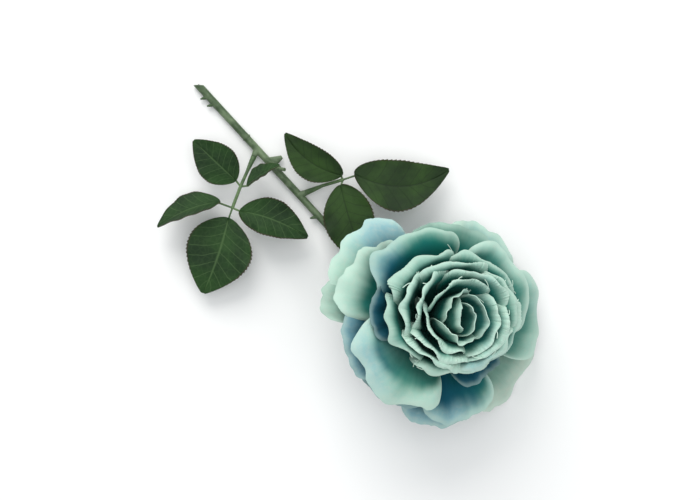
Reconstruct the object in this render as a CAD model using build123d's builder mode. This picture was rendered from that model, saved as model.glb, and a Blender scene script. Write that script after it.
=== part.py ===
"""A single artificial rose: fabric petals on a moulded core, two leaf sprays and a wired stem.

It lies on its side with the neck bent, so that the open flower looks up. Millimetres, +Z up, floor at Z = 0.
"""

from build123d import *

import os
from dataclasses import dataclass
from math import comb, cos, pi, radians, sin, tan

import numpy as np

# ---- stem ----
STEM_END_R = 2.0  # radius at the cut end
NECK_R = 1.7  # radius under the flower
CUT_END = Vector(-77.0, 85.9, 2.1)  # centre of the slanted cut
NECK_BEND_R = 17.0
WIRE_R = 0.6
WIRE_PLAY = 0.03
WIRE_STUB = 0.4  # wire left proud of the cut
TIP_PEG_R = 1.1  # spigot that carries the flower
TIP_PEG_LENGTH = 15.0
CENTRE = Vector(0.55, -1.75, 0)  # zero of the frame in which the pieces are made
TO_MIDDLE = Vector(0.46, -1.43, 0)  # moves the finished pieces, so the footprint's middle is the origin

# ---- moulded bosses, pegs and thorns along the stem ----
BOSS_LENGTH = 4.2
BOSS_ROOT_R = 2.0
BOSS_TIP_R = 1.45
PEG_R = 0.9
PEG_LENGTH = 5.0
PEG_PLAY = 0.05
LOWER_PEG_AT = 45.0  # along the stem from its cut end
SPARE_PEG_AT = 58.0
UPPER_PEG_AT = 77.5
LOWER_PEG_WAY = Vector(-0.39, -0.92, 0.25)
SPARE_PEG_WAY = Vector(0.62, -0.15, 0.77)
UPPER_PEG_WAY = Vector(0.925, 0.378, 0.28)
PEGS = ((LOWER_PEG_AT, LOWER_PEG_WAY), (SPARE_PEG_AT, SPARE_PEG_WAY), (UPPER_PEG_AT, UPPER_PEG_WAY))
THORN_LENGTH = 2.6
THORN_ROOT_R = 1.5
THORN_TIP_R = 0.35
THORNS = ((8.0, 1), (13.0, 1), (92.0, 1))  # distance along the stem, side
COLLAR_AT = 36.5  # the ring left where two mould halves of the stem meet
COLLAR_RISE = 0.25
COLLAR_WIDTH = 0.8
BRACT_AT = 55.0  # a small scale leaf moulded at the spare branch
BRACT_WAY = Vector(0.88, 0.48, 0.0).normalized()
BRACT_LENGTH = 7.0
BRACT_ROOT = (3.4, 1.1)
BRACT_TIP = (0.9, 0.4)

# ---- leaf sprays ----
SLEEVE_R = 1.5
SLEEVE_LENGTH = 9.0
SLEEVE_GAP = 0.3  # between a boss and the sleeve pushed up to it
RACHIS_R = 0.85
STALK_R = 0.5
RIB_R = 0.45
RIB_SHARE = 0.62  # how much of a leaf its moulded rib follows
LEAF_THICKNESS = 0.45
RIB_GAP = 0.3
RIB_DEPTH = RIB_R + RIB_GAP + LEAF_THICKNESS / 2  # from a leaf's middle surface to its rib's centre

# ---- flower ----
HUB = Vector(42.1, -34.0, 28.5)  # where the flower's axis meets the lowest petal layer
TILT = 17.3  # of the flower's axis from upright
TILT_TOWARDS = 11.0  # direction of that tilt, from +X towards +Y
PETAL_THICKNESS = 0.5
LAYER_PITCH = 1.5  # from one petal layer's centre disc to the next
DISC_THICKNESS = 0.6
PINWHEEL = 1.1  # how far a petal's two sides stand off its layer, one out and one in
POST_R = 2.0
POST_PLAY = 0.05
POST_FLANGE_R = 5.0
POST_FLANGE_THICKNESS = 1.0
BUD_CORE_R = 2.6
BUD_CORE_LENGTH = 10.0
BUD_SPIGOT_R = 1.1
BUD_SPIGOT_LENGTH = 5.0
LAYER_GAP = 0.1  # between neighbours stacked on the post
SPACER_R = 3.2
CALYX_DEPTH = 11.5
CALYX_R = 6.2
CALYX_GAP = 0.4  # between the calyx and the post's flange
SEPAL_COUNT = 5
SEPAL_ROOT_R = 4.0
SEPAL_HEIGHT = -4.0
SEPAL_DROOP = 5.0
SEPAL_LENGTH = 23.0
SEPAL_WIDTH = 8.5
SEPAL_THICKNESS = 0.8
FLOOR_DROOP = 9.0  # how much further the outer petals hang on the low side

GRID = 5  # points each way that a petal or leaf surface passes through


# ---------------------------------------------------------------- frames ----
def along(a, b, share):
    """The point that lies share of the way from a to b."""
    return a + (b - a) * share


CUT_END = CUT_END - CENTRE
HUB = HUB - CENTRE
AXIS = Vector(0, 0, 1).rotate(Axis.Y, TILT).rotate(Axis.Z, TILT_TOWARDS)
FLOWER = Plane(origin=HUB, x_dir=Vector(1, 0, 0) - AXIS * AXIS.X, z_dir=AXIS)
FLOWER_SECTION = Plane(origin=HUB, x_dir=FLOWER.x_dir, z_dir=-FLOWER.y_dir)  # local y is the flower's axis
FLOWER_AXIS = Axis(HUB, AXIS)

NECK_TOP = HUB - AXIS * CALYX_DEPTH
STEM_FLAT_WAY = (Vector(NECK_TOP.X, NECK_TOP.Y, CUT_END.Z) - CUT_END).normalized()
NECK_TURN = radians(STEM_FLAT_WAY.get_angle(AXIS))
NECK_CORNER = NECK_TOP - AXIS * (NECK_BEND_R * tan(NECK_TURN / 2))
STEM_WAY = (NECK_CORNER - CUT_END).normalized()
STEM_SIDE = STEM_WAY.cross(Vector(0, 0, 1)).normalized()
BEND_START = NECK_CORNER - STEM_WAY * (NECK_BEND_R * tan(radians(STEM_WAY.get_angle(AXIS)) / 2))
STEM_LENGTH = (BEND_START - CUT_END).length


def stem_point(distance):
    """A point on the straight part of the stem, that far from its cut end."""
    return CUT_END + STEM_WAY * distance


def sheet(function, thickness):
    """A thin solid about the surface function(u, v), with u from 0 to 1 and v from -1 to 1.

    The middle surface is one Bezier patch through GRID by GRID points of the function.
    """
    steps = range(GRID)
    degree = GRID - 1
    shares = [step / degree for step in steps]
    points = np.array([[tuple(function(u, 2 * v - 1)) for v in shares] for u in shares])
    basis = [[comb(degree, k) * (1 - t) ** (degree - k) * t**k for k in steps] for t in shares]
    inverse = np.linalg.inv(np.array(basis))
    poles = np.einsum("ai,ijk,bj->abk", inverse, points, inverse)
    face = Face.make_bezier_surface([[Vector(*pole) for pole in row] for row in poles])
    return thicken(face, amount=thickness / 2, both=True, mode=Mode.PRIVATE)


# ------------------------------------------------------------------ stem ----
def wire_bar(radius, overrun):
    """The wire's round bar, from that far outside the cut end, through the bend, to the top of the neck."""
    start = CUT_END - STEM_WAY * overrun
    with BuildPart() as bar:
        with BuildSketch(Plane(origin=start, z_dir=STEM_WAY)):
            Circle(radius)
        extrude(amount=STEM_LENGTH + overrun)
        with BuildLine() as bend:
            TangentArc(BEND_START, NECK_TOP, tangent=STEM_WAY)
        with BuildSketch(Plane(origin=BEND_START, z_dir=STEM_WAY)):
            Circle(radius)
        sweep(path=bend.line)
    return bar.part


def make_stem():
    with BuildPart() as stem:
        start = Plane(origin=CUT_END - STEM_WAY * (2 * STEM_END_R), z_dir=STEM_WAY)
        with BuildSketch(start):
            Circle(STEM_END_R)
        with BuildSketch(Plane(origin=BEND_START, z_dir=STEM_WAY)):
            Circle(NECK_R)
        loft()
        with BuildLine() as bend:
            TangentArc(BEND_START, NECK_TOP, tangent=STEM_WAY)
        with BuildSketch(Plane(origin=BEND_START, z_dir=STEM_WAY)):
            Circle(NECK_R)
        sweep(path=bend.line)
        with BuildSketch(FLOWER.offset(-CALYX_DEPTH)):
            Circle(TIP_PEG_R)
        extrude(amount=TIP_PEG_LENGTH)
        for distance, way in PEGS:
            root = Plane(origin=stem_point(distance), z_dir=way)
            with BuildSketch(root):
                Circle(BOSS_ROOT_R)
            with BuildSketch(root.offset(BOSS_LENGTH)):
                Circle(BOSS_TIP_R)
            loft()
            with BuildSketch(root.offset(BOSS_LENGTH)):
                Circle(PEG_R)
            extrude(amount=PEG_LENGTH)
        for distance, side in THORNS:
            way = (STEM_SIDE * side - STEM_WAY * 0.5).normalized()
            root = Plane(origin=stem_point(distance), z_dir=way)
            with BuildSketch(root):
                Circle(THORN_ROOT_R)
            with BuildSketch(root.offset(STEM_END_R + THORN_LENGTH)):
                Circle(THORN_TIP_R)
            loft()
        with BuildSketch(Plane(origin=stem_point(COLLAR_AT), z_dir=STEM_WAY)):
            Circle(STEM_END_R + COLLAR_RISE)
        extrude(amount=COLLAR_WIDTH)
        bract = Plane(origin=stem_point(BRACT_AT), x_dir=STEM_WAY, z_dir=BRACT_WAY)
        with BuildSketch(bract):
            Ellipse(*BRACT_ROOT)
        with BuildSketch(bract.offset(BRACT_LENGTH)):
            Ellipse(*BRACT_TIP)
        loft()
        with BuildSketch(Plane(origin=CUT_END, z_dir=(0, 1, 0))):
            Rectangle(20 * STEM_END_R, 20 * STEM_END_R)
        extrude(amount=10 * STEM_END_R, mode=Mode.SUBTRACT)
        add(wire_bar(WIRE_R + WIRE_PLAY, 4 * STEM_END_R), mode=Mode.SUBTRACT)
    stem.part.label = "stem"
    return stem.part


def make_stem_wire():
    with BuildPart() as wire:
        add(wire_bar(WIRE_R, WIRE_STUB))
    wire.part.label = "stem_wire"
    return wire.part


# ---------------------------------------------------------------- leaves ----
@dataclass
class Leaf:
    """A leaf blade from base to tip. Roll turns it about that line, and arch lifts its middle."""

    name: str
    base: Vector
    tip: Vector
    width: float
    roll: float
    arch: float
    cup: float
    bow: float = 0.0  # how far the middle of the leaf is pushed to one side

    def __post_init__(self):
        self.base = self.base - CENTRE
        self.tip = self.tip - CENTRE
        self.way = (self.tip - self.base).normalized()
        level = self.way.cross(Vector(0, 0, 1)).normalized()
        upright = level.cross(self.way)
        turn = radians(self.roll)
        self.normal = upright * cos(turn) + level * sin(turn)
        self.across = self.normal.cross(self.way)

    def midline(self, u, below=0.0):
        """A point on the leaf's middle line, or that far under it."""
        rise = 4 * self.arch * u * (1 - u) - below
        aside = 4 * self.bow * u * (1 - u)
        return along(self.base, self.tip, u) + self.normal * rise + self.across * aside

    def half_width(self, u):
        """Half of the blade's width: fullest before the middle, narrow at the tip."""
        return self.width / 2 * (0.06 + 0.94 * sin(pi * u**0.8) ** 0.85)

    def surface(self, u, v):
        half = self.half_width(u)
        return self.midline(u) + self.across * (half * v) + self.normal * (self.cup * half * v * v)


LOWER_LEAVES = (
    Leaf("lower_leaf_left_near_stem", Vector(-57.0, 36.2, 9.6), Vector(-78.4, 56.6, 13.0), 21.0, -8.0, 1.5, 0.10),
    Leaf("lower_leaf_right_near_stem", Vector(-51.4, 34.0, 10.6), Vector(-34.4, 43.8, 15.5), 15.0, -62.0, 1.0, 0.25),
    Leaf("lower_leaf_left_mid", Vector(-65.0, 25.4, 10.5), Vector(-97.0, 12.3, 12.5), 19.0, 50.0, 3.0, 0.30),
    Leaf("lower_leaf_right_mid", Vector(-55.2, 20.6, 10.0), Vector(-20.2, 7.0, 11.0), 20.0, -14.0, 2.5, 0.35, 1.5),
    Leaf("lower_leaf_end", Vector(-60.9, 17.0, 9.5), Vector(-74.0, -21.6, 8.6), 34.5, 4.0, 2.5, 0.10, 1.5),
)
UPPER_LEAVES = (
    Leaf("upper_leaf_left", Vector(-2.4, 38.8, 10.6), Vector(-31.7, 60.2, 12.0), 18.0, -6.0, 2.0, 0.20, 4.0),
    Leaf("upper_leaf_end", Vector(3.8, 39.6, 10.4), Vector(52.4, 41.6, 9.5), 27.0, -8.0, 3.0, 0.12, -8.0),
    Leaf("upper_leaf_right", Vector(-3.4, 34.0, 10.4), Vector(10.4, -7.7, 12.0), 26.0, 6.0, 2.0, 0.16, -1.0),
)
LOWER_RACHIS = (Vector(-54.8, 33.1, 8.6), Vector(-58.9, 22.2, 8.8))  # where its leaf pairs branch off
UPPER_RACHIS = (Vector(-2.2, 36.6, 9.6),)


def make_leaf(leaf):
    with BuildPart() as blade:
        add(sheet(leaf.surface, LEAF_THICKNESS))
    blade.part.label = leaf.name
    return blade.part


def make_spray_frame(name, peg_at, peg_way, branch_points, leaves, leaf_branch):
    """A spray's moulded piece: the sleeve on its peg, the rachis, a stalk and a rib for each leaf."""
    way = peg_way.normalized()
    mouth = Plane(origin=stem_point(peg_at) + way * (BOSS_LENGTH + SLEEVE_GAP), z_dir=way)
    nodes = [mouth.offset(SLEEVE_LENGTH).origin] + [point - CENTRE for point in branch_points]
    with BuildPart() as frame:
        with BuildSketch(mouth):
            Circle(SLEEVE_R)
        with BuildSketch(mouth.offset(SLEEVE_LENGTH)):
            Circle(RACHIS_R)
        loft()
        with Locations(nodes[0]):
            Sphere(RACHIS_R)
        bars = [(a, b, RACHIS_R) for a, b in zip(nodes, nodes[1:])]
        ribs = [[leaf.midline(u, RIB_DEPTH) for u in (0.02, RIB_SHARE / 2, RIB_SHARE)] for leaf in leaves]
        bars += [(nodes[branch + 1], rib[0], STALK_R) for branch, rib in zip(leaf_branch, ribs)]
        for a, b, radius in bars:
            with BuildSketch(Plane(origin=a, z_dir=b - a)):
                Circle(radius)
            extrude(amount=(b - a).length)
            with Locations(b):
                Sphere(radius)
        for first, middle, last in ribs:
            with BuildLine() as rib:
                ThreePointArc(first, middle, last)
            with BuildSketch(Plane(origin=first, z_dir=rib.line % 0)):
                Circle(RIB_R)
            sweep(path=rib.line)
        with BuildSketch(mouth):
            Circle(PEG_R + PEG_PLAY)
        extrude(amount=PEG_LENGTH, mode=Mode.SUBTRACT)
    frame.part.label = name
    return frame.part


# ---------------------------------------------------------------- flower ----
@dataclass
class Layer:
    """One die-cut fabric layer. Its petals rise along a curve from the centre disc to the rim.

    claw is the radius where petals leave the disc; belly, shoulder and rim are (radius, height) pairs
    over the layer's own disc. petals holds each one's direction, half angle and reach. squash
    scales the cup across and drift moves it, both in step with the distance from the disc.
    """

    name: str
    claw: float
    belly: tuple
    shoulder: tuple
    rim: tuple
    petals: tuple
    pinwheel: float = PINWHEEL
    droop: float = 0.0
    squash: float = 1.0
    drift: tuple = (0.0, 0.0)
    level: float = 0.0

    def profile(self, t):
        """Radius and height at share t of the way from the centre disc to the rim."""
        points = ((self.claw, 0.0), self.belly, self.shoulder, self.rim)
        weights = ((1 - t) ** 3, 3 * t * (1 - t) ** 2, 3 * t * t * (1 - t), t**3)
        radius = sum(w * p[0] for w, p in zip(weights, points))
        height = sum(w * p[1] for w, p in zip(weights, points))
        return radius, self.level + height

    def surface(self, direction, half_angle, reach):
        """The surface function of one petal."""

        def point(u, v):
            outline = reach * (1 - 0.97 * abs(v) ** 3.2) ** 0.3
            t = u * outline
            radius, height = self.profile(t)
            next_radius, next_height = self.profile(t + 0.01)
            slope = Vector(next_radius - radius, next_height - height, 0).normalized()
            stand_off = self.pinwheel * v * min(1, 2.2 * t)
            radius -= slope.Y * stand_off
            height += slope.X * stand_off
            spread = 0.42 + 0.58 * sin(pi / 2 * min(1, 1.5 * t))
            angle = radians(direction + half_angle * spread * v)
            height -= self.droop * max(0.0, cos(angle + radians(20))) * t**3
            x = radius * cos(angle) + self.drift[0] * t
            y = radius * sin(angle) * (1 - (1 - self.squash) * t) + self.drift[1] * t
            return FLOWER.from_local_coords(Vector(x, y, height))

        return point


LAYERS = (
    Layer("outer_petals_lowest", 6.0, (28, -2), (48, 14), (60, -5),
          ((140, 34, 0.92), (164, 22, 0.90), (235, 34, 0.70), (276, 30, 0.83), (326, 30, 1.0), (52, 31, 0.86)),
          droop=FLOOR_DROOP),
    Layer("outer_petals_second", 6.0, (28, 3), (46, 22), (58, 3),
          ((151, 34, 0.83), (200, 36, 0.80), (285, 31, 0.80), (2, 32, 0.97), (80, 40, 0.73)),
          droop=FLOOR_DROOP / 2),
    Layer("outer_petals_third", 5.5, (26, 5), (38, 33), (47, 16),
          ((120, 46, 0.92), (172, 32, 0.74), (223, 48, 0.93), (309, 36, 0.68), (30, 44, 0.90))),
    Layer("middle_petals_lower", 5.0, (22, 5), (31, 33), (33.5, 29),
          ((128, 46, 1.0), (200, 44, 0.93), (272, 44, 0.92), (344, 44, 0.96), (56, 44, 0.95)),
          squash=0.83, drift=(0.5, 3.0)),
    Layer("middle_petals_upper", 4.6, (19, 5), (28, 33), (27.5, 34),
          ((95, 46, 1.0), (167, 46, 0.95), (239, 46, 0.92), (311, 46, 0.96), (23, 46, 0.96)),
          squash=0.86, drift=(1.8, 1.8)),
    Layer("inner_petals_lower", 4.2, (15, 5), (23, 30), (22, 35),
          ((60, 58, 1.0), (150, 58, 0.95), (240, 58, 0.93), (330, 58, 0.97)),
          pinwheel=1.3, squash=0.92, drift=(2.8, 1.2)),
    Layer("inner_petals_upper", 3.8, (11, 5), (17.5, 27), (15.5, 34),
          ((100, 74, 1.0), (220, 74, 0.94), (340, 74, 0.97)), pinwheel=1.3, drift=(3.6, 0.8)),
    Layer("bud_petals_outer", 3.6, (8.8, 5), (11.5, 24), (8.4, 32),
          ((10, 74, 0.98), (130, 74, 0.93), (250, 74, 0.95)), pinwheel=1.0, squash=1.25, drift=(4.2, 0.2)),
    Layer("bud_petals_inner", 3.0, (4.8, 6), (6.8, 22), (2.4, 30),
          ((5, 98, 0.98), (185, 98, 0.95)), pinwheel=0.7, squash=1.9, drift=(4.4, 0.0)),
)
for order, stacked in enumerate(LAYERS):
    stacked.level = order * LAYER_PITCH


def make_petal_layer(layer):
    with BuildPart() as petals:
        with BuildSketch(FLOWER.offset(layer.level - DISC_THICKNESS / 2)):
            Circle(layer.claw + 1.2)
        extrude(amount=DISC_THICKNESS)
        for direction, half_angle, reach in layer.petals:
            add(sheet(layer.surface(direction, half_angle, reach), PETAL_THICKNESS))
        with BuildSketch(FLOWER.offset(layer.level - LAYER_PITCH)):
            Circle(POST_R + POST_PLAY)
        extrude(amount=2 * LAYER_PITCH, mode=Mode.SUBTRACT)
    petals.part.label = layer.name
    return petals.part


POST_FLANGE_TOP = -DISC_THICKNESS / 2 - LAYER_GAP
POST_TOP = LAYERS[-1].level + DISC_THICKNESS / 2 + LAYER_GAP
CALYX_TOP = POST_FLANGE_TOP - POST_FLANGE_THICKNESS - CALYX_GAP
CALYX_BASE = -CALYX_DEPTH + LAYER_GAP
PEG_TOP = TIP_PEG_LENGTH - CALYX_DEPTH


def make_flower_post():
    with BuildPart() as post:
        with BuildSketch(FLOWER.offset(POST_FLANGE_TOP - POST_FLANGE_THICKNESS)):
            Circle(POST_FLANGE_R)
        extrude(amount=POST_FLANGE_THICKNESS)
        with BuildSketch(FLOWER.offset(POST_FLANGE_TOP)):
            Circle(POST_R)
        extrude(amount=POST_TOP - POST_FLANGE_TOP)
        with BuildSketch(FLOWER.offset(POST_TOP)):
            Circle(BUD_SPIGOT_R)
        extrude(amount=BUD_SPIGOT_LENGTH)
        with BuildSketch(FLOWER.offset(-CALYX_DEPTH)):
            Circle(TIP_PEG_R + PEG_PLAY)
        extrude(amount=TIP_PEG_LENGTH + CALYX_GAP, mode=Mode.SUBTRACT)
    post.part.label = "flower_post"
    return post.part


def make_bud_core():
    base = POST_TOP + LAYER_GAP
    with BuildPart() as core:
        with BuildSketch(FLOWER_SECTION):
            with BuildLine():
                top = (0, base + BUD_CORE_LENGTH)
                Polyline((0, base), (BUD_CORE_R * 0.8, base), (BUD_CORE_R, base + BUD_CORE_LENGTH * 0.6))
                Spline((BUD_CORE_R, base + BUD_CORE_LENGTH * 0.6), top, tangents=((0, 1), (-1, 0)))
                Line(top, (0, base))
            make_face()
        revolve(axis=FLOWER_AXIS)
        with BuildSketch(FLOWER.offset(base)):
            Circle(BUD_SPIGOT_R + PEG_PLAY)
        extrude(amount=BUD_SPIGOT_LENGTH, mode=Mode.SUBTRACT)
    core.part.label = "bud_core"
    return core.part


def make_petal_spacer(order):
    """The ring that holds one petal layer off the next."""
    with BuildPart() as ring:
        with BuildSketch(FLOWER.offset(order * LAYER_PITCH + DISC_THICKNESS / 2 + LAYER_GAP)):
            Circle(SPACER_R)
            Circle(POST_R + POST_PLAY, mode=Mode.SUBTRACT)
        extrude(amount=LAYER_PITCH - DISC_THICKNESS - 2 * LAYER_GAP)
    ring.part.label = f"petal_spacer_{order + 1}"
    return ring.part


def sepal_surface(direction):
    """The surface function of one sepal, which starts inside the calyx cup and ends in a point."""

    def point(u, v):
        radius = SEPAL_ROOT_R + SEPAL_LENGTH * u
        height = SEPAL_HEIGHT - SEPAL_DROOP * u * u
        aside = SEPAL_WIDTH / 2 * v * (0.25 + 0.75 * sin(pi * u**0.7)) * (1 - u**4)
        turn = radians(direction)
        return FLOWER.from_local_coords(
            Vector(radius * cos(turn) - aside * sin(turn), radius * sin(turn) + aside * cos(turn), height)
        )

    return point


def make_calyx():
    with BuildPart() as calyx:
        with BuildSketch(FLOWER_SECTION):
            with BuildLine():
                Polyline((0, CALYX_TOP), (0, CALYX_BASE), (NECK_R + 0.9, CALYX_BASE))
                Spline((NECK_R + 0.9, CALYX_BASE), (CALYX_R, SEPAL_HEIGHT - 1), (CALYX_R * 0.9, CALYX_TOP))
                Line((CALYX_R * 0.9, CALYX_TOP), (0, CALYX_TOP))
            make_face()
        revolve(axis=FLOWER_AXIS)
        for order in range(SEPAL_COUNT):
            add(sheet(sepal_surface(36 + 360 / SEPAL_COUNT * order), SEPAL_THICKNESS))
        with BuildSketch(FLOWER.offset(-CALYX_DEPTH)):
            Circle(TIP_PEG_R + PEG_PLAY)
        extrude(amount=CALYX_DEPTH, mode=Mode.SUBTRACT)
    calyx.part.label = "calyx"
    return calyx.part


def main():
    os.makedirs("parts", exist_ok=True)
    parts = [make_stem(), make_stem_wire()]
    parts += [make_leaf(leaf) for leaf in LOWER_LEAVES + UPPER_LEAVES]
    parts.append(make_spray_frame("lower_spray_frame", LOWER_PEG_AT, LOWER_PEG_WAY, LOWER_RACHIS,
                                  LOWER_LEAVES, (0, 0, 1, 1, 1)))
    parts.append(make_spray_frame("upper_spray_frame", UPPER_PEG_AT, UPPER_PEG_WAY, UPPER_RACHIS,
                                  UPPER_LEAVES, (0, 0, 0)))
    parts += [make_calyx(), make_flower_post(), make_bud_core()]
    parts += [make_petal_layer(layer) for layer in LAYERS]
    parts += [make_petal_spacer(order) for order in range(len(LAYERS) - 1)]
    for part in parts:
        export_step(part.moved(Location(TO_MIDDLE)), f"parts/{part.label}.step")


main()
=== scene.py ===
import logging
import math
from dataclasses import dataclass, field
from enum import Enum
from typing import Callable, Sequence

import bpy
from mathutils import Matrix, Vector, noise


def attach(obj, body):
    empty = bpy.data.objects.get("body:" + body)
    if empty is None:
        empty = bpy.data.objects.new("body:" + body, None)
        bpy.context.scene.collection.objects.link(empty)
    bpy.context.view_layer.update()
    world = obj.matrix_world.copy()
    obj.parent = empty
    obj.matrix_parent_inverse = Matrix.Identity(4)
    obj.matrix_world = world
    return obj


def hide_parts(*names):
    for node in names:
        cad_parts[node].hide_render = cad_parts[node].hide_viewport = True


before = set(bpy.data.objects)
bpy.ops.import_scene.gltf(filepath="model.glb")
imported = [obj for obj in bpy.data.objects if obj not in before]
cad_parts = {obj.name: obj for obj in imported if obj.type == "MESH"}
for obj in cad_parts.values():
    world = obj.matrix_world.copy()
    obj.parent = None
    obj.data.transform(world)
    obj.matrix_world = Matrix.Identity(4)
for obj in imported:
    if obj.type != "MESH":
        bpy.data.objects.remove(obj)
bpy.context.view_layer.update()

LOG = logging.getLogger("silk_rose")
MM = 0.001  # in metres
CM2 = 1e-4  # in square metres
CENTRE = Vector((0.09, -0.32, 0.0))  # the footprint's middle as drawn, which is the frame's origin
WAVE_TURN = 6.283  # one wave of a wave texture, which counts radians
SMOOTH_UP_TO = math.radians(60)  # faces that meet at less than this are shaded as one
Colour = tuple[float, float, float]


def dyed(red: int, green: int, blue: int) -> Colour:
    """A cloth or paint colour as a printer names it, made linear for the shader.

    Args:
        red: red, 0 to 255.
        green: green, 0 to 255.
        blue: blue, 0 to 255.

    Returns:
        The linear colour.
    """
    shares = (c / 255 for c in (red, green, blue))
    return tuple(c / 12.92 if c <= 0.04045 else ((c + 0.055) / 1.055) ** 2.4 for c in shares)


def smooth(low: float, high: float, value: float) -> float:
    """A soft step from 0 at low to 1 at high."""
    share = min(1.0, max(0.0, (value - low) / (high - low)))
    return share * share * (3 - 2 * share)


def cloudy(x: float, y: float, z: float) -> float:
    """Even noise about 0 at a place."""
    return noise.noise(Vector((x, y, z)))


def only_selected(piece: bpy.types.Object) -> None:
    """Deselect everything and make one piece selected and active."""
    bpy.ops.object.select_all(action="DESELECT")
    piece.select_set(True)
    bpy.context.view_layer.objects.active = piece


# ------------------------------------------------------------------ shader maths
class Sock:
    """One output of a shader node, with the arithmetic written as Python."""

    def __init__(self, book: "NodeBook", output: bpy.types.NodeSocket | None) -> None:
        """Wrap an output socket of a material's node tree."""
        self.book = book
        self.output = output

    def _math(self, operation: str, first: "Sock | float", second: "Sock | float") -> "Sock":
        """Add a Math node that joins two values."""
        return self.book.node("ShaderNodeMath", {"operation": operation}, {0: first, 1: second})

    def __add__(self, other: "Sock | float") -> "Sock":
        """Sum."""
        return self._math("ADD", self, other)

    def __radd__(self, other: "Sock | float") -> "Sock":
        """Sum, the other way round."""
        return self._math("ADD", other, self)

    def __sub__(self, other: "Sock | float") -> "Sock":
        """Difference."""
        return self._math("SUBTRACT", self, other)

    def __mul__(self, other: "Sock | float") -> "Sock":
        """Product."""
        return self._math("MULTIPLY", self, other)

    def __abs__(self) -> "Sock":
        """Size without sign."""
        return self._math("ABSOLUTE", self, 0.0)

    def fraction(self) -> "Sock":
        """What is left after the whole number."""
        return self._math("FRACT", self, 0.0)

    def most(self, other: "Sock | float") -> "Sock":
        """The larger of two values."""
        return self._math("MAXIMUM", self, other)

    def ramp(self, low: float, high: float, start: float = 0.0, end: float = 1.0) -> "Sock":
        """A soft step of this value.

        Args:
            low: value where the step begins.
            high: value where it ends.
            start: result below low.
            end: result above high.

        Returns:
            The stepped value.
        """
        values = {0: self, 1: low, 2: high, 3: start, 4: end}
        return self.book.node("ShaderNodeMapRange", {"interpolation_type": "SMOOTHSTEP"}, values)


class NodeBook:
    """A new material and the one method that adds nodes to it."""

    def __init__(self, name: str) -> None:
        """Start a material with an empty tree."""
        self.material = bpy.data.materials.new(name)
        self.material.use_nodes = True
        self.tree = self.material.node_tree
        self.tree.nodes.clear()

    def node(
        self,
        kind: str,
        settings: dict[str, object],
        values: dict[int | str, object],
        output: int | str = 0,
    ) -> Sock:
        """Add a node.

        Args:
            kind: the node's type.
            settings: its properties, set first.
            values: a number, colour or Sock for each socket, by index or name.
            output: the output that is wanted.

        Returns:
            That output, or an empty one where the node has none.
        """
        made = self.tree.nodes.new(kind)
        for key, setting in settings.items():
            setattr(made, key, setting)
        for key, value in values.items():
            if isinstance(value, Sock):
                self.tree.links.new(value.output, made.inputs[key])
            elif hasattr(made.inputs[key].default_value, "__len__"):
                size = len(made.inputs[key].default_value)
                made.inputs[key].default_value = (*value, 1.0)[:size]
            else:
                made.inputs[key].default_value = value
        return Sock(self, made.outputs[output] if made.outputs else None)

    def mix(self, share: Sock | float, first: object, second: object) -> Sock:
        """Blend two colours.

        Args:
            share: 0 for the first, 1 for the second.
            first: a colour or a Sock.
            second: a colour or a Sock.

        Returns:
            The blended colour.
        """
        return self.node("ShaderNodeMix", {"data_type": "RGBA"}, {0: share, 6: first, 7: second}, 2)

    def attribute(self, name: str) -> Sock:
        """A number that the mesh carries."""
        return self.node("ShaderNodeAttribute", {"attribute_name": name}, {}, "Fac")

    def grain(self, place: Sock, scale: float) -> Sock:
        """Even cloudy noise at a place."""
        values = {"Vector": place, "Scale": scale, "Detail": 3.0, "Roughness": 0.55}
        return self.node("ShaderNodeTexNoise", {}, values, "Fac")

    def threads(self, place: Sock, scale: float, direction: str) -> Sock:
        """Parallel threads across a place."""
        settings = {"wave_type": "BANDS", "bands_direction": direction, "wave_profile": "SIN"}
        values = {"Vector": place, "Scale": scale, "Distortion": 0.6, "Detail": 1.0}
        return self.node("ShaderNodeTexWave", settings, values, "Fac")

    def bump(self, height: Sock, depth: float, strength: float) -> Sock:
        """A surface normal from a height, with its depth in metres."""
        values = {"Height": height, "Distance": depth, "Strength": strength}
        return self.node("ShaderNodeBump", {}, values, "Normal")

    def finish(self, values: dict[int | str, object]) -> bpy.types.Material:
        """Close the material with one shader.

        Args:
            values: the shader's sockets.

        Returns:
            The material.
        """
        shader = self.node("ShaderNodeBsdfPrincipled", {}, values)
        self.node("ShaderNodeOutputMaterial", {}, {"Surface": shader})
        return self.material


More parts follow.
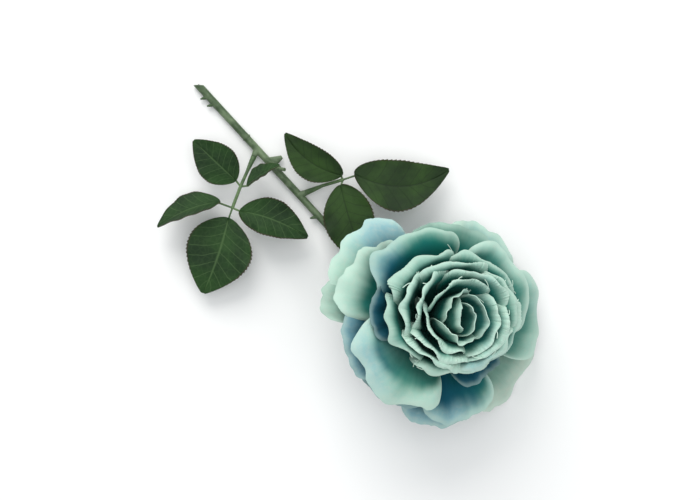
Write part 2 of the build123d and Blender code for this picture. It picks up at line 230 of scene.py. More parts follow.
@dataclass(frozen=True)
class PetalCloth:
    """Stiffened satin, pale at the rim and darker towards the heart with dye and painted shade, greener or
    bluer petal by petal.
    """

    name: str
    pale_green: Colour = dyed(168, 202, 186)
    pale_blue: Colour = dyed(134, 178, 188)
    # The heart's colours: partly the cloth's dye, partly painted shade for the cup's recesses.
    deep_green: Colour = dyed(18, 108, 94)
    deep_blue: Colour = dyed(8, 80, 98)
    warm: Colour = dyed(198, 200, 186)
    lip: Colour = dyed(196, 220, 206)
    thread_pitch: float = 0.35

    def material(self) -> bpy.types.Material:
        """The cloth's material."""
        book = NodeBook(self.name)
        uv = book.node("ShaderNodeTexCoord", {}, {}, "UV")
        place = book.node("ShaderNodeTexCoord", {}, {}, "Object")
        cloud = book.grain(place, 55.0)
        fine = book.grain(place, 420.0)
        # Darker towards each petal's heart: partly the cloth's dye, partly painted shade in the flower's
        # recesses.
        dye = book.attribute("dye")
        hue = book.attribute("hue")
        worn = book.attribute("rim")
        drawn_out = book.node("ShaderNodeMapping", {}, {"Vector": uv, "Scale": (30, 350, 1)})
        streaks = book.grain(drawn_out, 1.0)
        depth = (dye + (cloud - 0.5) * 0.22 + (streaks - 0.5) * 0.12).ramp(0.0, 1.0)
        broad = book.grain(place, 28.0)
        hue_here = (hue + (broad - 0.5) * 1.1 + (cloud - 0.5) * 0.2).ramp(0.0, 1.0)
        pale = book.mix(hue_here, self.pale_green, self.pale_blue)
        pale = book.mix((fine - 0.45).most(0.0) + book.attribute("warmth") * 0.6, pale, self.warm)
        deep = book.mix((hue_here + depth * 0.4).ramp(0.2, 1.2), self.deep_green, self.deep_blue)
        cloth = book.mix(depth, pale, deep)
        cloth = book.mix(worn * 0.45, cloth, self.lip)
        count = 1 / (self.thread_pitch * MM) / WAVE_TURN
        warp = book.threads(uv, count, "X")
        weft = book.threads(uv, count, "Y")
        height = warp * 0.5 + weft * 0.5 + streaks * 0.6
        values = {
            "Base Color": cloth,
            "Roughness": 0.62 + fine * 0.18,
            "Normal": book.bump(height, 0.05 * MM, 0.6),
            "Sheen Weight": 0.05,
            "Sheen Roughness": 0.4,
            "Sheen Tint": (0.6, 0.85, 0.8),
            "Specular IOR Level": 0.15,
        }
        return book.finish(values)


@dataclass(frozen=True)
class LeafCloth:
    """Pressed green cloth with printed side veins and a browned edge."""

    name: str
    field: Colour = dyed(34, 64, 26)
    shade: Colour = dyed(20, 44, 18)
    vein: Colour = dyed(96, 124, 78)
    edge: Colour = dyed(66, 50, 40)
    vein_strength: float = 0.5
    side_veins: float = 8.0
    rake: float = 0.26
    rake_back: float = 0.09
    net_scale: float = 330.0
    weave_scale: float = 450.0

    def material(self) -> bpy.types.Material:
        """The leaf's material."""
        book = NodeBook(self.name)
        place = book.node("ShaderNodeTexCoord", {}, {}, "Object")
        uv = book.node("ShaderNodeTexCoord", {}, {}, "UV")
        length = book.attribute("along")
        side = abs(book.attribute("across"))
        wobble = (book.grain(place, 90.0) - 0.5) * 0.05
        rake = length - side * self.rake + side * side * self.rake_back + wobble
        ray = abs((rake * self.side_veins).fraction() - 0.5)
        ray = ray.ramp(0.0, 0.05, 1.0, 0.0) * side.ramp(0.86, 1.0, 1.0, 0.0)
        middle = side.ramp(0.0, 0.055, 1.0, 0.0)
        values = {"Vector": place, "Scale": self.net_scale}
        cells = book.node("ShaderNodeTexVoronoi", {"feature": "DISTANCE_TO_EDGE"}, values, "Distance")
        net = cells.ramp(0.0, 0.16, 1.0, 0.0)
        veins = ray.most(middle)
        cloud = book.grain(place, 60.0)
        base = book.mix(cloud.ramp(0.3, 0.7), self.shade, self.field)
        base = book.mix(veins * self.vein_strength, base, self.vein)
        base = book.mix(net * 0.05, base, self.vein)
        base = book.mix(side.ramp(0.93, 1.0) * 0.7, base, self.edge)
        weave = book.threads(uv, self.weave_scale, "X") + book.threads(uv, self.weave_scale, "Y")
        height = weave * 0.15 - veins * 0.8 - net * 0.25
        values = {
            "Base Color": base,
            "Roughness": 0.55 + cloud * 0.15,
            "Normal": book.bump(height, 0.12 * MM, 0.7),
            "Specular IOR Level": 0.2,
        }
        return book.finish(values)


@dataclass(frozen=True)
class MouldedPlastic:
    """Flexible moulded plastic, mottled and faintly ribbed, with paler mottles that are partly wear and
    partly painted sheen.
    """

    name: str
    body: Colour
    wear_and_sheen: Colour
    roughness: float = 0.5
    mottle: float = 0.6

    def material(self) -> bpy.types.Material:
        """The plastic's material."""
        book = NodeBook(self.name)
        place = book.node("ShaderNodeTexCoord", {}, {}, "Object")
        cloud = book.grain(place, 130.0)
        fine = book.grain(place, 900.0)
        pressed = book.node("ShaderNodeMapping", {}, {"Vector": place, "Scale": (1, 1, 3)})
        ribs = book.grain(pressed, 300.0)
        # The paler mottle is partly wear and partly a painted highlight that stands in for the plastic's
        # sheen.
        tone = (cloud * 0.7 + ribs * 0.3).ramp(0.38, 0.66) * self.mottle
        values = {
            "Base Color": book.mix(tone, self.body, self.wear_and_sheen),
            "Roughness": self.roughness + (fine - 0.5) * 0.2,
            "Normal": book.bump(cloud * 0.5 + ribs * 0.5 + fine * 0.2, 0.18 * MM, 0.6),
            "Specular IOR Level": 0.4,
        }
        return book.finish(values)


@dataclass(frozen=True)
class CutSteel:
    """Bare steel wire with drawing lines."""

    name: str
    colour: Colour = dyed(150, 150, 146)
    dull: Colour = dyed(96, 92, 86)

    def material(self) -> bpy.types.Material:
        """The wire's material."""
        book = NodeBook(self.name)
        place = book.node("ShaderNodeTexCoord", {}, {}, "Object")
        drawn = book.node("ShaderNodeMapping", {}, {"Vector": place, "Scale": (1, 1, 12)})
        lines = book.grain(drawn, 700.0)
        values = {
            "Base Color": book.mix(lines * 0.5, self.colour, self.dull),
            "Metallic": 1.0,
            "Roughness": 0.32 + lines * 0.2,
            "Normal": book.bump(lines, 0.02 * MM, 0.5),
        }
        return book.finish(values)


@dataclass(frozen=True)
class PaleFloor:
    """The plain pale surface that the rose lies on."""

    name: str = "pale_floor"
    colour: Colour = (0.86, 0.86, 0.855)
    speck: Colour = (0.8, 0.8, 0.8)

    def material(self) -> bpy.types.Material:
        """The floor's material."""
        book = NodeBook(self.name)
        place = book.node("ShaderNodeTexCoord", {}, {}, "Object")
        speck = book.grain(place, 400.0)
        tone = book.mix(speck * 0.05, self.colour, self.speck)
        return book.finish({"Base Color": tone, "Roughness": 0.9, "Specular IOR Level": 0.1})


# ------------------------------------------------------------------ cloth sheets
Surface = Callable[[float, float], Vector]


@dataclass
class ClothGrid:
    """Collects curved cloth panels, each a grid over (u, v), into one mesh with its dye attributes."""

    name: str
    points: list[Vector] = field(default_factory=list)
    faces: list[tuple[int, ...]] = field(default_factory=list)
    uvs: list[tuple[float, float]] = field(default_factory=list)
    numbers: dict[str, list[float]] = field(default_factory=dict)

    def panel(
        self,
        surface: Surface,
        rows: int,
        columns: int,
        length: float,
        width: float,
        numbers: Callable[[float, float], dict[str, float]],
    ) -> None:
        """Add one panel.

        Args:
            surface: point of the cloth, in metres, for u from 0 to 1 and v from -1 to 1.
            rows: faces along u.
            columns: faces along v.
            length: the panel's length in metres, for its UV map.
            width: the panel's width in metres, for its UV map.
            numbers: the attributes of a point.
        """
        start = len(self.points)
        for i in range(rows + 1):
            u = i / rows
            for j in range(columns + 1):
                v = math.sin(math.pi * (j / columns - 0.5))
                self.points.append(surface(u, v))
                self.uvs.append((u * length, v * width / 2))
                for key, value in numbers(u, v).items():
                    self.numbers.setdefault(key, []).append(value)
        span = columns + 1
        for i in range(rows):
            for j in range(columns):
                a = start + i * span + j
                self.faces.append((a, a + 1, a + span + 1, a + span))

    def disc(self, centre: Callable[[float, float], Vector], inner: float, outer: float, steps: int) -> None:
        """Add the ring that the petals are cut from.

        Args:
            centre: point of the disc at x and y, in millimetres.
            inner: radius of its hole, in millimetres.
            outer: its radius, in millimetres.
            steps: faces round it.
        """
        start = len(self.points)
        for radius in (inner, outer):
            for step in range(steps):
                angle = 2 * math.pi * step / steps
                self.points.append(centre(radius * math.cos(angle), radius * math.sin(angle)))
                self.uvs.append((radius * math.cos(angle) * MM, radius * math.sin(angle) * MM))
                for values in self.numbers.values():
                    values.append(values[0])
        for step in range(steps):
            following = (step + 1) % steps
            outside = start + steps
            self.faces.append((start + step, outside + step, outside + following, start + following))

    def area(self) -> float:
        """The cloth's area as it is shaped, in square metres."""
        total = 0.0
        for face in self.faces:
            a, b, c, d = (self.points[k] for k in face)
            total += ((c - a).cross(d - b)).length / 2
        return total

    def build(self, thickness: float, material: bpy.types.Material) -> bpy.types.Object:
        """Make the sheet a solid piece.

        Args:
            thickness: of the cloth, in metres.
            material: its finish.

        Returns:
            The piece, smooth, with its thickness applied.
        """
        mesh = bpy.data.meshes.new(self.name)
        mesh.from_pydata([tuple(p) for p in self.points], [], self.faces)
        layer = mesh.uv_layers.new(name="cloth")
        for loop in mesh.loops:
            layer.data[loop.index].uv = self.uvs[loop.vertex_index]
        for key, values in self.numbers.items():
            mesh.attributes.new(key, "FLOAT", "POINT").data.foreach_set("value", values)
        piece = bpy.data.objects.new(self.name, mesh)
        bpy.context.collection.objects.link(piece)
        only_selected(piece)
        wall = piece.modifiers.new("cloth", "SOLIDIFY")
        wall.thickness = thickness
        wall.offset = 0.0
        bpy.ops.object.modifier_apply(modifier=wall.name)
        bpy.ops.object.shade_smooth_by_angle(angle=SMOOTH_UP_TO)
        piece.data.materials.clear()
        piece.data.materials.append(material)
        return piece


# ------------------------------------------------------------------ flower
# The outline and the spread of a petal, which its solid shares.
SIDE_CUT = 0.97  # how far the outline draws in at the petal's sides
SHOULDER_POWER = 3.2  # how square its shoulders are
TIP_POWER = 0.3  # how blunt its tip is
PROFILE_STEP = 0.01  # share of the profile over which its slope is taken
STAND_OFF_RATE = 2.2  # how soon a petal lifts off its neighbour
CLAW_SPREAD = 0.42  # share of its angle that a petal has at the claw
SPREAD_RATE = 1.5  # how soon it has the whole angle
DROOP_TOWARDS = math.radians(20)  # the side on which the lowest layers hang

# What the cloth has and the solid doesn't.
BROAD_NOTCH, FINE_NOTCH, FRAY_NOTCH = 2.4, 7.0, 55.0  # how close together the rim's notches are
BROAD_SLICE, FINE_SLICE, FRAY_SLICE, LIP_SLICE = 7.0, 3.0, 5.0, 4.0  # where each cuts the noise
FINE_NOTCH_SHARE = 0.5
NOTCH_FADE = 6  # power with which notches end before the sides
FINE_WAVE_SHARE = 0.6
RIPPLE_DEPTH, RIPPLE_COUNT, RIPPLE_SHIFT = 0.3, 11, 5  # in millimetres, in radians across, by seed
CREASE_DEPTH, CREASE_WIDTH, CREASE_END = 0.5, 0.10, 1.1  # in millimetres, and shares of the petal
FLATTEST_LIP = -0.2  # how far a lip may roll inwards, as a share
LIP_DROP = 0.9  # how far a lip drops for each millimetre it rolls out
LEAST_HEIGHT = 0.4  # of cloth above the floor, in millimetres

# Each petal's and each leaf's own place in the noise.
LAYER_SEED, PETAL_SEED, FIRST_PETAL_SEED = 7.0, 1.7, 0.3
LEAF_SEED, FIRST_LEAF_SEED = 3.7, 1.0

# How the layers are cut and made.
DISC_HOLE, DISC_EDGE, DISC_STEPS = 2.1, 0.6, 48  # hole's radius and overlap in millimetres, and faces
ARC_STEPS = 24
WIDEST_AT = 0.7  # share of its reach at which a petal's width is taken
THREAD_GRID = (6, 1)  # faces along and across a loose thread
THREAD_ROOT, THREAD_INSIDE = 0.995, 0.95  # shares of the petal where it leaves, and that give its way
THREAD_SPREAD = 0.85  # how near the petal's sides a thread may be
THREAD_SHORTEST, THREAD_EXTRA, THREAD_HALF = 1.2, 1.6, 0.05  # length and half width, in millimetres
THREAD_SIZE = (3.0, 0.2)  # of its UV map, in millimetres
THREAD_DYE_AND_SHADE = {"dye": 0, "hue": 0, "rim": 1, "warmth": 0.3}


@dataclass(frozen=True)
class Petal:
    """One petal of a layer.

    direction and half_angle are in degrees about the flower's axis; reach is its share of the full
    profile; hue runs from green to blue at the petal's two sides, deep and pale are how dark the dye,
    together with painted shade, is at its heart and at its rim, lip is how far the rim rolls out in
    millimetres, ruffle scales its waves, and warmth is how far it has faded.
    """

    direction: float
    half_angle: float
    reach: float
    hue: tuple[float, float] = (0.1, 0.1)
    deep: float = 0.8
    pale: float = 0.1
    lip: float = 2.0
    ruffle: float = 1.0
    warmth: float = 0.0


@dataclass
class FlowerHead:
    """Where the flower sits and which way it looks."""

    hub: Vector = field(default_factory=lambda: Vector((42.1, -34.0, 28.5)) - CENTRE)
    tilt: float = 17.3
    tilt_towards: float = 11.0
    pitch: float = 1.5

    def __post_init__(self) -> None:
        """Work out the flower's own axes."""
        turn = Matrix.Rotation(math.radians(self.tilt_towards), 3, "Z")
        lean = Matrix.Rotation(math.radians(self.tilt), 3, "Y")
        self.axis = turn @ lean @ Vector((0, 0, 1))
        self.right = (Vector((1, 0, 0)) - self.axis * self.axis.x).normalized()
        self.up = self.axis.cross(self.right)

    def place(self, x: float, y: float, height: float) -> Vector:
        """A point given about the flower's axis.

        Args:
            x: towards the low side, in millimetres.
            y: across, in millimetres.
            height: above the hub, in millimetres.

        Returns:
            The point in the scene, in metres.
        """
        return (self.hub + self.right * x + self.up * y + self.axis * height) * MM


@dataclass
class PetalLayer:
    """One die-cut layer of petals on its centre disc. Sizes are in millimetres."""

    head: FlowerHead
    node: str
    order: int
    claw: float
    belly: tuple[float, float]
    shoulder: tuple[float, float]
    rim: tuple[float, float]
    petals: Sequence[Petal]
    slot: str
    pinwheel: float = 1.1
    droop: float = 0.0
    thickness: float = 0.4
    rows: int = 44
    columns: int = 44
    lip_start: float = 0.74
    # Share of the petal where the darkening towards the heart, dye and painted shade, starts to fade.
    dye_start: float = 0.55
    squash: float = 1.0
    drift: tuple[float, float] = (0.0, 0.0)
    curl: float = 2.0
    notch: float = 0.07
    fray: float = 0.006
    wave: float = 2.4
    threads: int = 0

    def profile(self, t: float) -> tuple[float, float]:
        """Radius and height above the hub at share t of the way to the rim."""
        points = ((self.claw, 0.0), self.belly, self.shoulder, self.rim)
        weights = ((1 - t) ** 3, 3 * t * (1 - t) ** 2, 3 * t * t * (1 - t), t**3)
        radius = sum(w * p[0] for w, p in zip(weights, points))
        height = sum(w * p[1] for w, p in zip(weights, points))
        return radius, height + self.order * self.head.pitch

    def surface(self, petal: Petal, seed: float) -> Surface:
        """The shaped cloth of one petal.

        Args:
            petal: which petal.
            seed: sets its own waves.

        Returns:
            Its surface function.
        """

        def point(u: float, v: float) -> Vector:
            """One point of the petal."""
            notch = cloudy(v * BROAD_NOTCH, seed, BROAD_SLICE)
            notch += FINE_NOTCH_SHARE * cloudy(v * FINE_NOTCH, seed, FINE_SLICE)
            notch *= self.notch
            notch += self.fray * cloudy(v * FRAY_NOTCH, seed, FRAY_SLICE)
            outline = (1 - SIDE_CUT * abs(v) ** SHOULDER_POWER) ** TIP_POWER
            outline = petal.reach * (outline + petal.ruffle * notch * (1 - abs(v) ** NOTCH_FADE))
            t = u * outline
            radius, height = self.profile(t)
            next_radius, next_height = self.profile(t + PROFILE_STEP)
            slope = Vector((next_radius - radius, next_height - height)).normalized()
            stand_off = self.pinwheel * v * min(1.0, STAND_OFF_RATE * t)
            waves = cloudy(v * 1.7 + seed * 5.3, u * 1.3, seed)
            waves += FINE_WAVE_SHARE * cloudy(v * 4.1 + seed, u * 2.6, seed * 2.7)
            stand_off += petal.ruffle * self.wave * waves * u**2
            ripple = math.sin(v * RIPPLE_COUNT + seed * RIPPLE_SHIFT)
            stand_off += RIPPLE_DEPTH * ripple * u * (1 - abs(v))
            crease = math.exp(-((v / CREASE_WIDTH) ** 2)) * math.sin(math.pi * min(1.0, u * CREASE_END))
            stand_off -= CREASE_DEPTH * crease
            radius -= slope.y * stand_off
            height += slope.x * stand_off
            opened = math.sin(math.pi / 2 * min(1.0, SPREAD_RATE * t))
            spread = CLAW_SPREAD + (1 - CLAW_SPREAD) * opened
            angle = math.radians(petal.direction + petal.half_angle * spread * v)
            height -= self.droop * max(0.0, math.cos(angle + DROOP_TOWARDS)) * t**3
            rolled = max(0.0, (u - self.lip_start) / (1 - self.lip_start))
            uneven = max(FLATTEST_LIP, 1 + self.curl * cloudy(v * 2.8, seed * 9.1, LIP_SLICE))
            radius += petal.lip * uneven * rolled**2
            height -= petal.lip * uneven * LIP_DROP * rolled**3
            x = radius * math.cos(angle) + self.drift[0] * t
            y = radius * math.sin(angle) * (1 - (1 - self.squash) * t) + self.drift[1] * t
            placed = self.head.place(x, y, height)
            placed.z = max(placed.z, LEAST_HEIGHT * MM)
            return placed

        return point

    def loose_thread(self, petal: Petal, seed: float, count: int) -> Surface:
        """A fibre that has come away from a petal's rim.

        Args:
            petal: which petal.
            seed: the petal's own seed.
            count: which of its threads.

        Returns:
            The thread as a narrow ribbon.
        """
        cloth = self.surface(petal, seed)
        v = THREAD_SPREAD * math.sin(seed * 12.9 + count * 7.3)
        root = cloth(THREAD_ROOT, v)
        out = (root - cloth(THREAD_INSIDE, v)).normalized()
        side = (cloth(THREAD_ROOT, v + 0.02) - cloth(THREAD_ROOT, v - 0.02)).normalized()
        sway = math.sin(seed * 5.1 + count * 3.7)
        length = (THREAD_SHORTEST + THREAD_EXTRA * abs(math.sin(count * 2.3 + seed))) * MM

        def point(u: float, v: float) -> Vector:
            """One point of the ribbon."""
            bend = side * (sway * length * (u + 0.9 * u * u)) + out * (length * u * (1 - 0.3 * u))
            return root + bend + side.cross(out) * (THREAD_HALF * MM * v)

        return point

    def numbers(self, petal: Petal, seed: float) -> Callable[[float, float], dict[str, float]]:
        """The dye and painted-shade attributes of one petal, with its rim and warmth."""

        def at(u: float, v: float) -> dict[str, float]:
            """The dye and painted shade at one point."""
            patch = cloudy(u * 2.2, v * 1.8, seed * 4.4)
            # Darker towards the heart: partly the cloth's dye, partly painted shade for the depth of the
            # cup.
            heart = 1 - smooth(self.dye_start, 0.98, u + 0.10 * patch)
            dye = petal.pale + (petal.deep - petal.pale) * heart + 0.08 * patch
            rim = smooth(0.90, 0.99, u) * (1 - 0.5 * petal.pale)
            hue = petal.hue[0] + (petal.hue[1] - petal.hue[0]) * smooth(-0.7, 0.7, v)
            return {"dye": dye, "hue": hue, "rim": rim, "warmth": petal.warmth}

        return at

    def arc(self, reach: float) -> float:
        """Length of a petal along its profile, in millimetres."""
        steps = [self.profile(reach * k / ARC_STEPS) for k in range(ARC_STEPS + 1)]
        return sum(math.dist(a, b) for a, b in zip(steps, steps[1:]))

    def build(self, material: bpy.types.Material) -> bpy.types.Object:
        """Args:
            material: its finish.

        Returns:
            The piece.
        """
        cloth = ClothGrid(f"{self.node}_cloth")
        for count, petal in enumerate(self.petals):
            seed = self.order * LAYER_SEED + count * PETAL_SEED + FIRST_PETAL_SEED
            length = self.arc(petal.reach) * MM
            width = 2 * math.radians(petal.half_angle) * self.profile(petal.reach * WIDEST_AT)[0] * MM
            numbers = self.numbers(petal, seed)
            cloth.panel(self.surface(petal, seed), self.rows, self.columns, length, width, numbers)
            for thread in range(self.threads):
                ribbon = self.loose_thread(petal, seed, thread)
                thread_length, thread_width = (side * MM for side in THREAD_SIZE)
                cloth.panel(ribbon, *THREAD_GRID, thread_length, thread_width, lambda u, v: THREAD_DYE_AND_SHADE)
        level = self.order * self.head.pitch
        cloth.disc(lambda x, y: self.head.place(x, y, level), DISC_HOLE, self.claw + DISC_EDGE, DISC_STEPS)
        cut = cloth.area()
        across = 2 * (self.arc(max(p.reach for p in self.petals)) + self.claw) * MM
        piece = cloth.build(self.thickness * MM, material)
        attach(piece, "flower")
        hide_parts(self.node)
        size = across / MM
        LOG.info("%s: %d petals, cut from %.0f mm, %.1f cm2", self.node, len(self.petals), size, cut / CM2)
        return piece


@dataclass
class Flower:
    """The open flower: nine layers of petals on the post."""

    head: FlowerHead = field(default_factory=FlowerHead)

    def layers(self) -> list[PetalLayer]:
        """The layers from the lowest up."""
        outer, middle, inner = "outer_petal_fabric", "middle_petal_fabric", "inner_petal_fabric"
        head = self.head
        rolled = {"lip_start": 0.66, "curl": 0.8, "notch": 0.035, "fray": 0.03, "threads": 2}
        rolled.update(columns=120, dye_start=0.70)
        return [
            PetalLayer(head, "outer_petals_lowest", 0, 6.0, (28, -2), (48, 14), (60, -5), (
                Petal(140, 34, 0.92, (0.8, 0.0), 0.60, 0.15, 1.5),
                Petal(164, 22, 0.90, (0.0, 0.1), 0.7, 0.40, 1.5, 1.0, 0.4),
                Petal(235, 34, 0.70, (1.0, 1.0), 0.90, 0.45, 1.0),
                Petal(276, 30, 0.83, (0.9, 0.5), 1.0, 0.25, 1.5),
                Petal(326, 30, 1.00, (0.0, 0.0), 0.60, 0.20, 1.5, 1.2, 0.7),
                Petal(52, 31, 0.86, (0.2, 0.0), 0.70, 0.20, 1.5),
            ), outer, droop=9.0, columns=96, dye_start=0.62),
            PetalLayer(head, "outer_petals_second", 1, 6.0, (28, 3), (46, 22), (58, 3), (
                Petal(151, 34, 0.83, (0.0, 0.2), 0.90, 0.10, 2.0),
                Petal(200, 36, 0.80, (0.9, 0.9), 0.90, 0.45, 1.0),
                Petal(285, 31, 0.80, (0.8, 0.3), 1.00, 0.25, 1.0),
                Petal(2, 32, 0.97, (0.0, 0.2), 0.75, 0.18, 1.5),
                Petal(80, 40, 0.73, (0.0, 0.0), 0.95, 0.55, 1.5),
            ), outer, droop=4.5, columns=96, dye_start=0.68),
            PetalLayer(head, "outer_petals_third", 2, 5.5, (26, 5), (38, 33), (47, 16), (
                Petal(120, 46, 0.92, (0.1, 0.6), 1.00, 0.45, 1.5),
                Petal(172, 32, 0.74, (0.9, 0.9), 1.0, 0.80, 1.0),
                Petal(223, 48, 0.93, (0.5, 0.1), 0.80, 0.02, 3.0),
                Petal(309, 36, 0.60, (0.6, 0.6), 1.00, 0.80, 1.0),
                Petal(30, 44, 0.90, (0.1, 0.2), 0.85, 0.25, 1.5),
            ), outer, columns=96, dye_start=0.70),
            PetalLayer(head, "middle_petals_lower", 3, 5.0, (22, 5), (30, 33), (31.0, 30), (
                Petal(128, 46, 1.00, (0.1, 0.1), 1.00, 0.40, 4.1),
                Petal(200, 44, 0.93, (0.1, 0.1), 1.0, 0.40, 4.1),
                Petal(272, 44, 0.92, (0.1, 0.1), 0.95, 0.05, 5.1),
                Petal(344, 44, 0.96, (0.3, 0.1), 0.95, 0.20, 4.1),
                Petal(56, 44, 0.95, (0.1, 0.1), 1.00, 0.40, 4.1),
            ), middle, squash=0.83, drift=(0.5, 3.0), wave=1.0, **rolled),
            PetalLayer(head, "middle_petals_upper", 4, 4.6, (19, 5), (27, 33), (25.5, 34), (
                Petal(95, 46, 1.00, (0.1, 0.1), 1.00, 0.30, 4.1),
                Petal(167, 46, 0.95, (0.1, 0.1), 1.0, 0.25, 4.1),
                Petal(239, 46, 0.92, (0.1, 0.1), 0.95, 0.00, 5.1),
                Petal(311, 46, 0.96, (0.3, 0.1), 0.95, 0.05, 5.1),
                Petal(23, 46, 0.96, (0.1, 0.1), 1.00, 0.30, 3.6),
            ), middle, squash=0.86, drift=(1.8, 1.8), wave=0.9, **rolled),
            PetalLayer(head, "inner_petals_lower", 5, 4.2, (15, 5), (22, 30), (20.3, 35), (
                Petal(60, 58, 1.00, (0.1, 0.1), 1.00, 0.25, 3.6),
                Petal(150, 58, 0.95, (0.1, 0.1), 1.0, 0.20, 4.1),
                Petal(240, 58, 0.93, (0.1, 0.1), 0.95, 0.02, 4.6),
                Petal(330, 58, 0.97, (0.1, 0.1), 0.95, 0.10, 4.1),
            ), inner, pinwheel=1.3, squash=0.92, drift=(2.8, 1.2), wave=0.9, **rolled),
            PetalLayer(head, "inner_petals_upper", 6, 3.8, (11, 5), (17, 27), (14.4, 34), (
                Petal(100, 74, 1.00, (0.1, 0.1), 0.95, 0.22, 3.2),
                Petal(220, 74, 0.94, (0.1, 0.1), 0.9, 0.06, 3.8),
                Petal(340, 74, 0.97, (0.1, 0.1), 0.95, 0.12, 3.4),
            ), inner, pinwheel=1.3, drift=(3.6, 0.8), wave=0.9, **rolled),
            PetalLayer(head, "bud_petals_outer", 7, 3.6, (8.8, 5), (11.5, 24), (8.4, 32), (
                Petal(10, 74, 0.98, (0.1, 0.1), 0.90, 0.15, 1.0, 0.8),
                Petal(130, 74, 0.93, (0.1, 0.1), 0.90, 0.15, 1.0, 0.8),
                Petal(250, 74, 0.95, (0.1, 0.1), 0.85, 0.08, 1.2, 0.8),
            ), inner, pinwheel=1.0, squash=1.25, drift=(4.2, 0.2), fray=0.02, threads=2,
                columns=110, dye_start=0.72, wave=1.5),
            PetalLayer(head, "bud_petals_inner", 8, 3.0, (4.8, 6), (6.8, 22), (2.4, 30), (
                Petal(5, 98, 0.98, (0.1, 0.1), 0.85, 0.10, 0.5, 0.6),
                Petal(185, 98, 0.95, (0.1, 0.1), 0.85, 0.10, 0.5, 0.6),
            ), inner, pinwheel=0.7, squash=1.9, drift=(4.4, 0.0), columns=110, dye_start=0.72, wave=1.4),
        ]

    def build(self) -> None:
        """Make every layer with its own cloth finish."""
        cloths = {
            "outer_petal_fabric": PetalCloth("outer_petal_cloth").material(),
            "middle_petal_fabric": PetalCloth("middle_petal_cloth").material(),
            "inner_petal_fabric": PetalCloth("inner_petal_cloth").material(),
        }
        for layer in self.layers():
            layer.build(cloths[layer.slot])


# ------------------------------------------------------------------ leaves
BLADE_ROOT = 0.06  # share of the half width that a blade has at its two ends
BLADE_SKEW, BLADE_FULLNESS = 0.8, 0.85  # how far down it is widest, and how full its sides are
TOOTH_DEPTH, TOOTH_FROM = 0.045, 0.85  # shares of the half width
WAVE_DEPTH, FLUTE_DEPTH, RIB_DEPTH = 0.8, 0.35, 0.35  # in millimetres
FLUTE_COUNT, FLUTE_RAKE = 24, 5  # in radians along and across
RIB_WIDTH = 0.07  # share of the half width


class Spray(Enum):
    """Which spray a leaf belongs to, by the body that carries it."""

    LOWER = "lower_spray"
    UPPER = "upper_spray"


@dataclass
class Leaf:
    """A pressed leaf from base to tip, in millimetres. The same shape as its solid, with teeth and waves."""

    spray: Spray
    node: str
    base: tuple[float, float, float]
    tip: tuple[float, float, float]
    width: float
    roll: float
    arch: float
    cup: float
    bow: float = 0.0
    teeth: int = 22
    thickness: float = 0.35
    rows: int = 132
    columns: int = 40
    spare: float = 1.04

    def __post_init__(self) -> None:
        """Work out the leaf's own axes."""
        self.start = Vector(self.base) - CENTRE
        self.end = Vector(self.tip) - CENTRE
        self.way = (self.end - self.start).normalized()
        level = self.way.cross(Vector((0, 0, 1))).normalized()
        upright = level.cross(self.way)
        turn = math.radians(self.roll)
        self.normal = upright * math.cos(turn) + level * math.sin(turn)
        self.across = self.normal.cross(self.way)

    def surface(self, seed: float) -> Surface:
        """The shaped blade, with its own waves."""

        def point(u: float, v: float) -> Vector:
            """One point of the blade."""
            fullness = math.sin(math.pi * u**BLADE_SKEW) ** BLADE_FULLNESS
            half = self.width / 2 * (BLADE_ROOT + (1 - BLADE_ROOT) * fullness)
            tooth = (u * self.teeth) % 1.0
            edge = smooth(TOOTH_FROM, 1.0, abs(v)) * math.sin(math.pi * u)
            half *= 1 + TOOTH_DEPTH * (tooth - 0.5) * edge
            rise = 4 * self.arch * u * (1 - u)
            wave = WAVE_DEPTH * cloudy(u * 3.1, v * 1.2, seed) * abs(v)
            flute = math.sin(u * FLUTE_COUNT - abs(v) * FLUTE_RAKE) * abs(v) ** 2
            wave += FLUTE_DEPTH * flute * math.sin(math.pi * u)
            fold = -RIB_DEPTH * math.exp(-((v / RIB_WIDTH) ** 2))
            lift = rise + self.cup * half * v * v + wave + fold
            aside = 4 * self.bow * u * (1 - u) + half * v
            middle = self.start + (self.end - self.start) * u
            return (middle + self.normal * lift + self.across * aside) * MM

        return point

    @staticmethod
    def numbers(u: float, v: float) -> dict[str, float]:
        """Where a point lies on the blade, for its veins."""
        return {"along": u, "across": v}

    def build(self, material: bpy.types.Material, seed: float) -> bpy.types.Object:
        """Args:
            material: its finish.
            seed: sets its waves.

        Returns:
            The piece.
        """
        cloth = ClothGrid(f"{self.node}_cloth")
        length = (self.end - self.start).length * MM
        width = self.width * MM
        cloth.panel(self.surface(seed), self.rows, self.columns, length, width, self.numbers)
        cut = cloth.area()
        piece = cloth.build(self.thickness * MM, material)
        flat = (width * self.spare, length * self.spare)
        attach(piece, self.spray.value)
        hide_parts(self.node)
        LOG.info("%s: %.0f by %.0f mm, %.1f cm2", self.node, flat[0] / MM, flat[1] / MM, cut / CM2)
        return piece


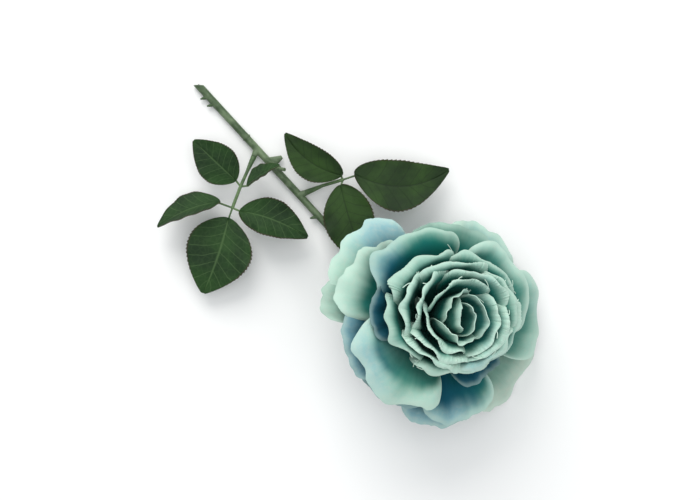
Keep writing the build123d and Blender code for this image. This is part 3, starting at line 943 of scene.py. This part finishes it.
@dataclass
class Foliage:
    """The two leaf sprays' cloth."""

    def leaves(self) -> list[Leaf]:
        """Every leaf, the lower spray's first."""
        low, high = Spray.LOWER, Spray.UPPER
        return [
            Leaf(low, "lower_leaf_left_near_stem", (-57.0, 36.2, 9.6),
                 (-78.4, 56.6, 13.0), 21.0, -8.0, 1.5, 0.10),
            Leaf(low, "lower_leaf_right_near_stem", (-51.4, 34.0, 10.6),
                 (-34.4, 43.8, 15.5), 15.0, -62.0, 1.0, 0.25),
            Leaf(low, "lower_leaf_left_mid", (-65.0, 25.4, 10.5),
                 (-97.0, 12.3, 12.5), 19.0, 50.0, 3.0, 0.30),
            Leaf(low, "lower_leaf_right_mid", (-55.2, 20.6, 10.0),
                 (-20.2, 7.0, 11.0), 20.0, -14.0, 2.5, 0.35, 1.5),
            Leaf(low, "lower_leaf_end", (-60.9, 17.0, 9.5),
                 (-74.0, -21.6, 8.6), 34.5, 4.0, 2.5, 0.10, 1.5),
            Leaf(high, "upper_leaf_left", (-2.4, 38.8, 10.6),
                 (-31.7, 60.2, 12.0), 18.0, -6.0, 2.0, 0.20, 4.0),
            Leaf(high, "upper_leaf_end", (3.8, 39.6, 10.4),
                 (52.4, 41.6, 9.5), 27.0, -8.0, 3.0, 0.12, -8.0),
            Leaf(high, "upper_leaf_right", (-3.4, 34.0, 10.4),
                 (10.4, -7.7, 12.0), 26.0, 6.0, 2.0, 0.16, -1.0),
        ]

    def build(self) -> None:
        """Make every leaf."""
        lower = LeafCloth("lower_leaf_cloth", vein_strength=0.36).material()
        upper = LeafCloth(
            "upper_leaf_cloth", dyed(42, 68, 26), dyed(22, 42, 16), dyed(14, 28, 12), dyed(60, 46, 34), 0.5
        ).material()
        for count, leaf in enumerate(self.leaves()):
            leaf.build(lower if leaf.spray is Spray.LOWER else upper, LEAF_SEED * count + FIRST_LEAF_SEED)


# ------------------------------------------------------------------ moulded pieces
@dataclass
class MouldedPieces:
    """The plastic and wire pieces, whose solids are right and get their finishes here."""

    def build(self) -> None:
        """Give each carried-over solid its finish."""
        stem = MouldedPlastic("moulded_stem", dyed(52, 74, 44), dyed(126, 146, 112))
        spray = MouldedPlastic("moulded_spray", dyed(58, 84, 48), dyed(112, 138, 92))
        calyx = MouldedPlastic("moulded_calyx", dyed(50, 84, 48), dyed(92, 122, 78))
        post = MouldedPlastic("moulded_post", dyed(176, 186, 160), dyed(200, 206, 186), 0.45, 0.4)
        wire = CutSteel("cut_steel_wire")
        finishes = {
            "stem": stem.material(),
            "stem_wire": wire.material(),
            "calyx": calyx.material(),
        }
        spray_finish = spray.material()
        post_finish = post.material()
        for name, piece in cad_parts.items():
            if piece.hide_render:
                continue
            if name in finishes:
                finish = finishes[name]
            elif name.endswith("_frame"):
                finish = spray_finish
            else:
                finish = post_finish
            for slot in piece.material_slots:
                slot.material = finish
            LOG.info("%s: %s", name, finish.name)


# ------------------------------------------------------------------ studio
@dataclass(frozen=True)
class Lamp:
    """A soft square lamp: its place and side in metres, its power in watts and its colour."""

    name: str
    place: tuple[float, float, float]
    side: float
    power: float
    colour: Colour


LAMPS = (
    Lamp("key", (-0.30, 1.05, 0.9), 0.9, 13.5, (1.0, 0.99, 0.97)),
    Lamp("fill", (0.9, -0.5, 0.9), 0.9, 2.5, (0.97, 0.99, 1.0)),
    Lamp("top", (0.0, 0.1, 1.6), 1.2, 6.0, (1.0, 1.0, 1.0)),
)
LIT_POINT = Vector((0, 0, 0.03))  # what the lamps look at, in metres


@dataclass
class Studio:
    """Floor, soft lights and the camera straight above. Sizes are in millimetres."""

    camera_height: float = 800.0
    scale: float = 0.52
    picture_width: int = 700
    sensor: float = 36.0
    nearest: float = 0.01
    look_at: Vector = field(default_factory=lambda: Vector((1.56, 0.52, 0.0)) - CENTRE)

    def build_camera(self) -> None:
        """The camera, looking straight down."""
        camera = bpy.data.cameras.new("camera")
        camera.sensor_width = self.sensor
        camera.lens = self.sensor * self.camera_height / (self.scale * self.picture_width)
        camera.clip_start = self.nearest
        rig = bpy.data.objects.new("camera", camera)
        bpy.context.collection.objects.link(rig)
        rig.location = (self.look_at + Vector((0, 0, self.camera_height))) * MM
        bpy.context.scene.camera = rig

    def light(self, lamp: Lamp) -> None:
        """Hang a lamp that looks at the rose.

        Args:
            lamp: which lamp.
        """
        light = bpy.data.lights.new(lamp.name, "AREA")
        light.size = lamp.side
        light.energy = lamp.power
        light.color = lamp.colour
        rig = bpy.data.objects.new(lamp.name, light)
        bpy.context.collection.objects.link(rig)
        rig.location = lamp.place
        rig.rotation_euler = (LIT_POINT - Vector(lamp.place)).to_track_quat("-Z", "Y").to_euler()

    def build(self) -> None:
        """Make the floor, the lights and the room's own light."""
        self.build_camera()
        bpy.ops.object.select_all(action="DESELECT")
        bpy.ops.mesh.primitive_plane_add(size=6.0, location=(0, 0, -0.0002))
        floor = bpy.context.active_object
        floor.name = "floor"
        floor.data.materials.append(PaleFloor().material())
        for lamp in LAMPS:
            self.light(lamp)
        bpy.context.scene.view_settings.view_transform = "Standard"
        world = bpy.data.worlds.new("soft_room")
        bpy.context.scene.world = world
        world.use_nodes = True
        sky = world.node_tree.nodes["Background"]
        sky.inputs["Color"].default_value = (0.95, 0.98, 1.0, 1.0)
        sky.inputs["Strength"].default_value = 0.66


def main() -> None:
    """Dress the rose and set the studio round it."""
    logging.basicConfig(level=logging.INFO, format="%(name)s: %(message)s")
    Studio().build()
    Flower().build()
    Foliage().build()
    MouldedPieces().build()


if __name__ == "__main__":
    main()
